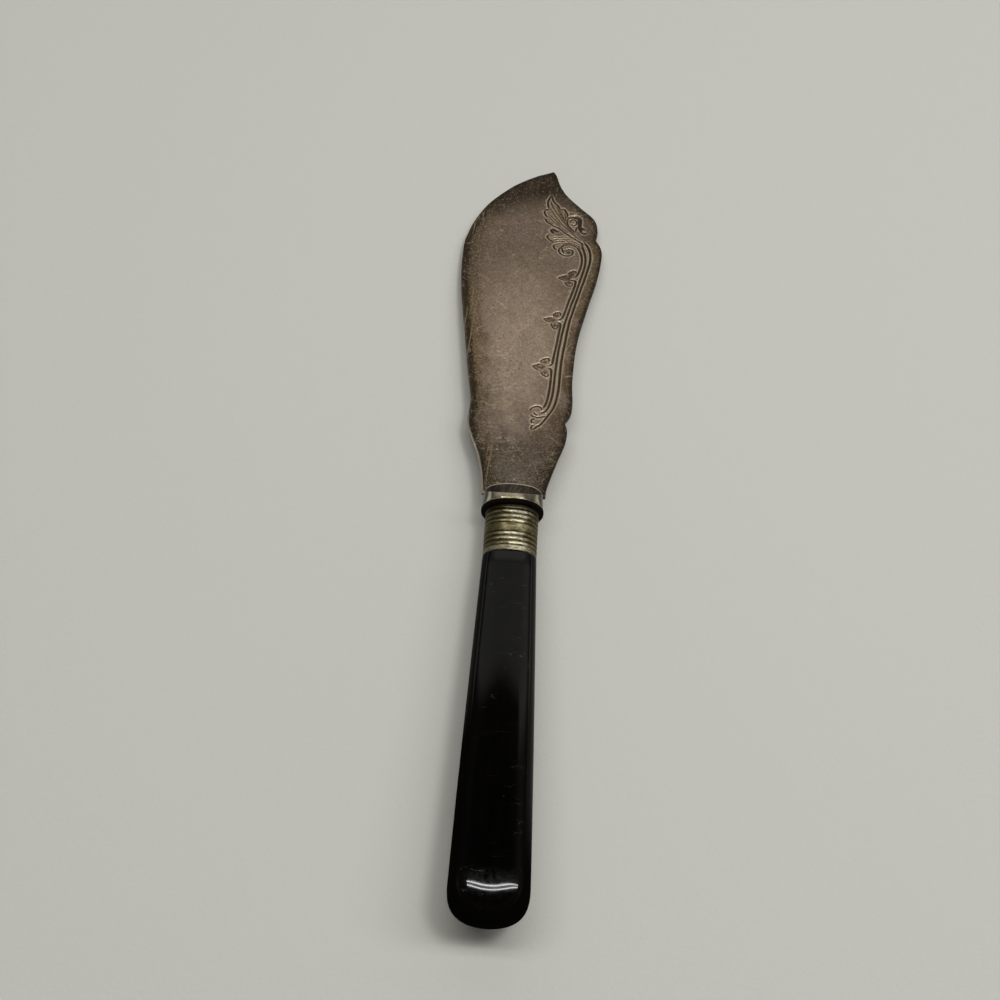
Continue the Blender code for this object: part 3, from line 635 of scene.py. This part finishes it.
def makeBolster():
    rimSteps, bodySteps, beadSteps = 6, 5, 12
    rim, bead, high = bolster["rim"], bolster["bead"], bolster["beadHeight"]
    bodyEnd = bolster["length"] - bead
    groove = high * bolster["grooveShare"]
    profile = []
    for step in range(rimSteps + 1):
        turn = pi / 2 * step / rimSteps
        profile.append((rim * (1 - cos(turn)), bolster["taper"] + rim * (1 - sin(turn))))
    for step in range(1, bodySteps + 1):
        share = min(1.0, step / 3.5)
        inset = high + (bolster["taper"] - high) * (1 - share)
        profile.append((rim + (bodyEnd * 0.97 - rim) * step / bodySteps, inset))
    for step in range(beadSteps + 1):
        inset = groove * (1 - sin(pi * step / beadSteps))
        profile.append((bodyEnd + bead * step / beadSteps, inset))
    rows = []
    rimSquare, beadSquare = bolster["rimSquareness"], bolster["beadSquareness"]
    for along, inset in profile:
        share = along / bolster["length"]
        squareness = rimSquare + (beadSquare - rimSquare) * share
        size = (bolster["width"] / 2 - inset, bolster["depth"] / 2 - inset)
        onRim = float(0.1 < along < 0.25)
        rows.append((bolster["front"] - along, *size, squareness, onRim))
    back = bolster["front"] - bolster["length"]
    rows += [(place, *boss["half"], boss["squareness"], 0) for place in (back, boss["back"])]
    bm = bmesh.new()
    ovalLoft(bm, rows, bolster["segments"])
    piece = addPiece(bm, "polishedBolster", "bolster", polishedPlate())
    bm = bmesh.new()
    slot = Matrix.Translation(bolster["slotMiddle"]) @ Matrix.Diagonal((*bolster["slotSize"], 1))
    bmesh.ops.create_cube(bm, size=1.0, matrix=slot)
    hollowOut(piece, bm)
    bm = bmesh.new()
    deep = bolster["tangDepth"]
    rod(bm, boss["back"] + deep, boss["back"] - deep, bolster["tangHole"])
    hollowOut(piece, bm)


makeBolster()

# Ferrule
ferrule = {
    "front": -4.8, "width": 11.7, "depth": 9.5, "wall": 1.0, "squareness": boss["squareness"],
    "frontLip": 0.9, "backLip": 1.2, "pitch": 1.18, "reedHeight": 0.3, "reeds": 3, "plain": 1.9,
    "valley": 0.06, "frontRound": (0.08, 0.06), "segments": 112, "sharp": 60,
    "nickel": tone(0.445, 0.396, 0.240), "yellow": tone(0.218, 0.184, 0.086),
    "tarnishAndShade": tone(0.065, 0.052, 0.021), "groove": tone(0.022, 0.017, 0.008),
    "highlight": tone(0.885, 0.825, 0.580), "dull": tone(0.279, 0.246, 0.180), "bump": 0.035,
}


def reededNickel():
    material, knife = startMaterial("reededNickel")
    sunk = painted(knife, "sunk")
    x, y = knife.axis("X"), knife.axis("Y")
    cloud = knife.noise(0.45, 4.0, 0.65)
    streak = knife.turned(0, (2.8, 0.6, 2.8)).noise(0.9, 3.0, 0.6)
    grain = knife.noise(2.6, 3.0, 0.7)
    colour = cloud.rise(0.38, 0.62).mix(ferrule["nickel"], ferrule["yellow"])
    group = ferrule["reeds"] * ferrule["pitch"]
    band = ferrule["front"] - ferrule["frontLip"] - group - ferrule["plain"] / 2
    lipStart = band - ferrule["plain"] / 2 - group
    plain = (abs(y - band) + (grain - 0.5) * 0.5).rise(1.15, 0.75)  # between the groups of reeds
    colour = (plain * 0.45).mix(colour, ferrule["tarnishAndShade"])
    # painted highlight right of the middle, where the lamps are mirrored
    highlightZone = (abs(x - 1.3) + (cloud - 0.5) * 5).rise(2.6, 1.2) * (1 - plain)
    colour = (highlightZone * 0.8).mix(colour, ferrule["highlight"])
    # painted shade on the sides, away from the highlight
    aside = (abs(x - 1.0) + (cloud - 0.5) * 3).rise(2.0, 4.6)
    colour = (aside * 0.75).mix(colour, ferrule["tarnishAndShade"])
    lip = y.rise(lipStart + 0.13, lipStart - 0.07)
    colour = (lip * 0.7).mix(colour, ferrule["dull"])
    dirtAndGlints = knife.turned(0, (1.8, 0.6, 1.8)).noise(2.2, 4.0, 0.85)
    colour = (dirtAndGlints.rise(0.48, 0.60) * 0.8).mix(colour, ferrule["tarnishAndShade"])
    # painted glints: light flecks in the highlight colour
    colour = (dirtAndGlints.rise(0.40, 0.30) * 0.5 * (1 - aside)).mix(colour, ferrule["highlight"])
    streaked = streak.rise(0.48, 0.64) * 0.8 * (1 - highlightZone * 0.6)
    colour = streaked.mix(colour, ferrule["tarnishAndShade"])
    soot = (sunk + (grain - 0.5) * 0.7 - (cloud - 0.5) * 0.8).rise(0.22, 0.85)
    colour = (soot * 0.8).mix(colour, ferrule["groove"])
    fromFront = y - ferrule["front"]
    shaded = (fromFront + (cloud - 0.5) * 1.2).rise(-1.9, -0.7)  # painted shadow of the bolster
    colour = (shaded * 0.8).mix(colour, ferrule["groove"])
    spots = knife.dots(1.3, 0.20) * cloud.rise(0.44, 0.52)
    colour = (spots * 0.85).mix(colour, ferrule["groove"])
    roughness = 0.28 + cloud * 0.14 + streak * 0.16
    roughness = roughness + sunk * 0.15 + lip * 0.15 - highlightZone * 0.10
    plug(material, {"Base Color": colour, "Roughness": roughness, "Metallic": 1.0,
                    "Normal": bumped(knife, grain + streak + dirtAndGlints * 3, ferrule["bump"])})
    return material


def makeFerrule():
    reedSteps = 12
    valley = ferrule["pitch"] * ferrule["valley"]
    high = ferrule["reedHeight"]
    roundLength, roundDepth = ferrule["frontRound"]
    profile = [(0.0, roundDepth), (roundLength, 0.0), (ferrule["frontLip"] - valley, 0.0)]
    place = ferrule["frontLip"]
    for plain in (ferrule["plain"], ferrule["backLip"]):
        for _ in range(ferrule["reeds"]):
            for step in range(reedSteps + 1):
                along = place + valley + (ferrule["pitch"] - 2 * valley) * step / reedSteps
                profile.append((along, high * (1 - sin(pi * step / reedSteps))))
            place += ferrule["pitch"]
        profile.append((place + valley, high * 0.1))
        place += plain
        profile.append((place - valley - 0.05, high * 0.1))
    profile.append((place, high * 0.4))
    halfWidth, halfDepth = ferrule["width"] / 2, ferrule["depth"] / 2
    square = ferrule["squareness"]
    rows = [(ferrule["front"] - along, halfWidth - inset, halfDepth - inset, square, inset / high)
            for along, inset in profile]
    wall = ferrule["wall"]
    inner = (halfWidth - wall, halfDepth - wall, square, 1.0)
    rows += [(ferrule["front"] - place, *inner), (ferrule["front"], *inner), rows[0]]
    bm = bmesh.new()
    ovalLoft(bm, rows, ferrule["segments"], ring=True)
    addPiece(bm, "reededFerrule", "ferrule", reededNickel(), ferrule["sharp"])


makeFerrule()

# Handle
handle = {
    "front": -16.18, "length": 78.58, "frontSize": (11.7, 9.8), "buttSize": (16.1, 12.59),
    "frontRound": 0.3, "buttRound": 7.39, "spigot": 7.5, "boreRadius": 2.6, "boreEnd": -56.0,
    "squareness": 2.9, "endSquareness": 1.8, "buttSquareness": 2.6, "buttTurn": 86, "swell": 0.25,
    "segments": 144,
    "black": tone(0.0007, 0.0007, 0.0006), "brownish": tone(0.0016, 0.0013, 0.0010),
    "dust": tone(0.10, 0.10, 0.09), "haze": 0.14, "film": (-84, -88), "filmEnd": (-94, -90),
    "shadeShare": 0.88, "steep": (0.20, 0.36), "darker": (-42, -62), "keptShine": 0.25, "bump": 0.004,
}


def blackGrip():
    material, knife = startMaterial("blackGrip")
    cloud = knife.noise(0.07, 3.0, 0.6)
    grain = knife.turned(0, (1, 8, 1)).noise(1.1, 3.0, 0.6)
    hair = knife.hairlines(2, 8, 0.6, 0.012) * knife.noise(0.16, 1.0).rise(0.50, 0.60)
    specks = knife.dots(0.40, 0.05) * knife.noise(0.15, 2.0).rise(0.50, 0.60)
    colour = (cloud * 0.6 + grain * 0.4).rise(0.42, 0.62).mix(handle["black"], handle["brownish"])
    colour = (hair * 0.35 + specks * 0.6).mix(colour, handle["dust"])
    y = knife.axis("Y")
    film = y.rise(*handle["film"]) * y.rise(*handle["filmEnd"])  # dust on the butt
    film = film * knife.noise(0.9, 3.0, 0.7).rise(0.30, 0.70)
    specks = specks + knife.dots(0.34, 0.07) * y.rise(-82, -86)
    roughness = 0.02 + cloud * 0.01 + hair * 0.03 + specks * 0.2 + film * 0.05
    plug(material, {"Base Color": colour, "Roughness": roughness, "Metallic": 0.0, "IOR": 1.40,
                    "Coat Weight": film * handle["haze"], "Coat Roughness": 0.25,
                    "Normal": bumped(knife, cloud, handle["bump"])})
    # painted shade: the steep sides lose their reflection of the floor
    spineSide = knife.axis("X").rise(3, 7) * y.rise(-86, -66)
    kept = spineSide * handle["keptShine"]  # the right side keeps more of its reflection under the painted shade
    lower = y.rise(*handle["darker"]) * 0.11  # more painted shade towards the butt
    steep = (painted(knife, "steep") + lower).rise(*handle["steep"])
    begin = (y - handle["front"]).rise(-3.4, -2.2) * 0.4 * (1 - steep)  # painted shade over a band at the ferrule
    share = steep * (handle["shadeShare"] - kept + lower) + begin
    mixPaintedShade(material, knife, share, handle["brownish"])
    return material


def makeHandle():
    front = Vector(handle["frontSize"]) / 2
    butt = Vector(handle["buttSize"]) / 2
    begin = handle["front"]
    buttStart = begin - handle["length"] + handle["buttRound"]
    square = handle["squareness"]
    roundSteps, gripSteps, buttSteps = 4, 24, 28
    spigotFront = begin + handle["spigot"]
    rows = [(place, *boss["half"], boss["squareness"], 0) for place in (spigotFront, begin)]
    for step in range(roundSteps + 1):
        turn = pi / 2 * step / roundSteps
        inset = handle["frontRound"] * (1 - sin(turn))
        place = begin - handle["frontRound"] * (1 - cos(turn))
        rows.append((place, front.x - inset, front.y - inset, square, 0))
    for step in range(1, gripSteps + 1):
        share = step / gripSteps
        y = (begin - handle["frontRound"]) * (1 - share) + buttStart * share
        swell = sin(pi / 2 * share) * handle["swell"] + share * (1 - handle["swell"])
        rows.append((y, *front.lerp(butt, swell), square, 0))
    power = 2 / handle["buttSquareness"]
    for step in range(1, buttSteps + 1):
        turn = radians(handle["buttTurn"]) * step / buttSteps
        share = sin(turn) ** power
        size = butt * cos(turn) ** power
        ease = square + (handle["endSquareness"] - square) * share
        rows.append((buttStart - handle["buttRound"] * share, *size, ease, 0))
    bm = bmesh.new()
    ovalLoft(bm, rows, handle["segments"])
    bm.normal_update()
    steep = bm.verts.layers.float.new("steep")
    for vert in bm.verts:
        vert[steep] = 1 - abs(vert.normal.z)
    piece = addPiece(bm, "blackHandle", "handle", blackGrip())
    bm = bmesh.new()
    bore = handle["boreRadius"]
    rod(bm, spigotFront + bore, handle["boreEnd"], bore)
    hollowOut(piece, bm)


makeHandle()


# What is closed inside
inside = {
    "steel": tone(0.30, 0.29, 0.28), "rust": tone(0.10, 0.045, 0.02),
    "resin": tone(0.16, 0.09, 0.05), "darkResin": tone(0.09, 0.05, 0.028), "bump": 0.05,
}


def dullSteel():
    material, knife = startMaterial("dullSteel")
    cloud = knife.noise(0.5, 4.0, 0.6)
    colour = (cloud.rise(0.45, 0.70) * 0.8).mix(inside["steel"], inside["rust"])
    plug(material, {"Base Color": colour, "Roughness": 0.40 + cloud * 0.25,
                    "Metallic": 1.0 - cloud.rise(0.5, 0.7) * 0.7})
    return material


def resinCement():
    material, knife = startMaterial("resinCement")
    cloud = knife.noise(0.8, 4.0, 0.6)
    colour = cloud.rise(0.3, 0.7).mix(inside["resin"], inside["darkResin"])
    plug(material, {"Base Color": colour, "Roughness": 0.55 + cloud * 0.2,
                    "Normal": bumped(knife, cloud, inside["bump"])})
    return material


for node, material in (("tang", dullSteel()), ("cement_bed", resinCement())):
    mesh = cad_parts[node].data
    mesh.materials.clear()
    mesh.materials.append(material)
print("inner pieces finished")

# Floor, light and camera, in metres. The world's bounds are parts of a direction or degrees.
stage = {
    "floor": tone(0.435, 0.431, 0.395), "floorHalf": 2.0, "floorGrain": 900.0, "floorBump": 0.0001,
    "sky": tone(1.0, 0.985, 0.94), "fill": 0.28, "skyline": 0.55, "dim": 0.03,
    "glow": 0.64, "wideGlow": 0.38, "rightGlow": 0.07,
    "glowFrom": (0.572, 0.635), "wideFrom": (0.472, 0.515), "rightFrom": (0.40, 0.48),
    "tubes": 21.0, "panel": 2.6, "sideLamp": 29.0, "tubeSize": (1.92, 0.036),
    "panelSize": (1.92, 0.22), "sideSize": (0.18, 0.18), "lampHeight": 1.0, "lampX": 0.34,
    "eye": (-0.003847, -0.148529, 0.303051), "aim": (-0.003847, -0.001168, 0.006657),
    "roll": radians(3.85), "lens": 54.0, "sensor": 36.0,
}


def makeFloor():
    bm = bmesh.new()
    bmesh.ops.create_grid(bm, x_segments=2, y_segments=2, size=stage["floorHalf"])
    mesh = bpy.data.meshes.new("floor")
    bm.to_mesh(mesh)
    bm.free()
    floor = bpy.data.objects.new("floor", mesh)
    bpy.context.scene.collection.objects.link(floor)
    material = bpy.data.materials.new("paleCloth")
    material.use_nodes = True
    place = Wire(material.node_tree).make("TexCoord", out="Object")
    grain = place.noise(stage["floorGrain"], 3.0, 0.6)
    rough = {"Height": grain, "Distance": stage["floorBump"]}
    plug(material, {"Base Color": stage["floor"], "Roughness": 0.9, "Specular IOR Level": 0.1,
                    "Normal": place.make("Bump", {}, rough, "Normal")})
    mesh.materials.append(material)


def makeWorld():  # a dim room with a pale skyline and a soft glow over the far side
    world = bpy.data.worlds.new("room")
    world.use_nodes = True
    tree = world.node_tree
    way = Wire(tree).make("TexCoord", out="Generated")
    x, y, z = way.axis("X"), way.axis("Y"), way.axis("Z")
    height = z.reckon("ARCSINE", z) * (180 / pi)
    side = x.reckon("ARCTAN2", x, y) * (180 / pi)  # degrees to the right of straight ahead
    glow = y.rise(*stage["glowFrom"]) * abs(x).rise(0.65, 0.35)
    fill = y.rise(0.35, 0.10) * height.rise(4, 9) * height.rise(32, 18)  # low, not in front
    wideGlow = (y + abs(x) * 0.04).rise(*stage["wideFrom"])
    wideGlow = wideGlow + y.rise(*stage["rightFrom"]) * x.rise(0.40, 0.60)
    wideGlow = wideGlow.rise(0.0, 1.0)
    above = height.rise(8, 28)
    rightGlow = side.rise(30, 50) * side.rise(84, 60) * height.rise(54, 34)
    level = height.rise(7, 3.5) * stage["skyline"] + height.rise(62, 40) * stage["dim"]
    level = level + (glow * stage["glow"] + wideGlow * stage["wideGlow"]) * above
    level = level + rightGlow * stage["rightGlow"] + fill * stage["fill"]
    background = tree.nodes["Background"]
    background.inputs["Color"].default_value = stage["sky"]
    tree.links.new(level.socket, background.inputs["Strength"])
    bpy.context.scene.world = world


def makeLamp(name, spot, aim, size, radiance, mirrored=True):
    lamp = bpy.data.lights.new(name, "AREA")
    lamp.shape = "RECTANGLE"
    lamp.size, lamp.size_y = size
    lamp.energy = radiance * pi * size[0] * size[1]
    thing = bpy.data.objects.new(name, lamp)
    thing.location = spot
    thing.visible_glossy = mirrored
    thing.rotation_euler = (Vector(aim) - Vector(spot)).to_track_quat("-Z", "Y").to_euler()
    bpy.context.scene.collection.objects.link(thing)


def makeCamera():
    eye = Vector(stage["eye"])
    camera = bpy.data.cameras.new("camera")
    camera.sensor_width = stage["sensor"]
    camera.lens = stage["lens"]
    camera.clip_start = 0.01
    thing = bpy.data.objects.new("camera", camera)
    look = (Vector(stage["aim"]) - eye).to_track_quat("-Z", "Y").to_matrix().to_4x4()
    thing.matrix_world = Matrix.Translation(eye) @ look @ Matrix.Rotation(stage["roll"], 4, "Z")
    bpy.context.scene.collection.objects.link(thing)
    bpy.context.scene.camera = thing


makeFloor()
makeWorld()
lampX, lampHeight = stage["lampX"], stage["lampHeight"]
for name, y in (("nearTube", 0.045), ("farTube", 0.155)):
    makeLamp(name, (lampX, y, lampHeight), (lampX, y, 0.0), stage["tubeSize"], stage["tubes"])
makeLamp("panel", (lampX, 0.10, lampHeight + 0.02), (lampX, 0.10, 0.0), stage["panelSize"],
         stage["panel"])
# for the shadow on the left, not mirrored in the handle
makeLamp("sideLamp", (0.30, 0.0, lampHeight), (0.0, 0.0, 0.0), stage["sideSize"],
         stage["sideLamp"], mirrored=False)
makeCamera()
bpy.context.scene.view_settings.view_transform = "Standard"
print("stage set")

bpy.context.view_layer.update()
